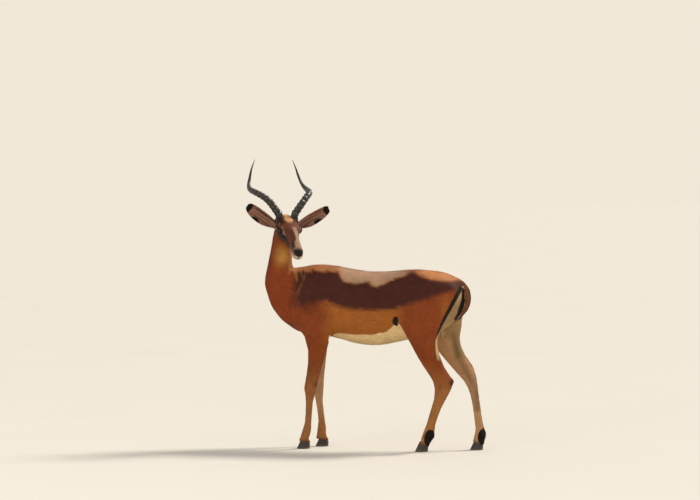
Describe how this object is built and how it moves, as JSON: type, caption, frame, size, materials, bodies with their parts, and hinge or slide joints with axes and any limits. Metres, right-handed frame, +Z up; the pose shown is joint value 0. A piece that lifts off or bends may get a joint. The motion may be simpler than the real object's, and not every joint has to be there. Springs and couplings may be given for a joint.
{
  "type": "impala ram life-size model",
  "caption": "Life-size standing impala ram looking back over its left shoulder, with lyre-shaped ringed horns, for display on a floor.",
  "frame": {"origin": "on the ground, under the middle of the model's bounding box", "axes": "+Z up; the ram's body faces -X with its tail towards +X; its left side is -Y, the side its head is turned to"},
  "size_m": [1.1895, 0.3818, 1.4215],
  "materials": {
    "coat": "short flat hair, reddish fawn with a darker saddle and a white belly",
    "eye": "wet, polished",
    "horn": "ringed horn, satin",
    "hoof": "horn, satin"
  },
  "bodies": {
    "root": {"trunk": "coat", "neck": "coat", "head": "coat", "ear_left": "coat", "ear_right": "coat", "tail": "coat", "leg_front_left": "coat", "leg_front_right": "coat", "leg_hind_left": "coat", "leg_hind_right": "coat", "eye_left": "eye", "eye_right": "eye", "horn_left": "horn", "horn_right": "horn", "hoof_front_left_outer": "hoof", "hoof_front_left_inner": "hoof", "hoof_front_right_outer": "hoof", "hoof_front_right_inner": "hoof", "hoof_hind_left_outer": "hoof", "hoof_hind_left_inner": "hoof", "hoof_hind_right_outer": "hoof", "hoof_hind_right_inner": "hoof"}
  },
  "joints": []
}
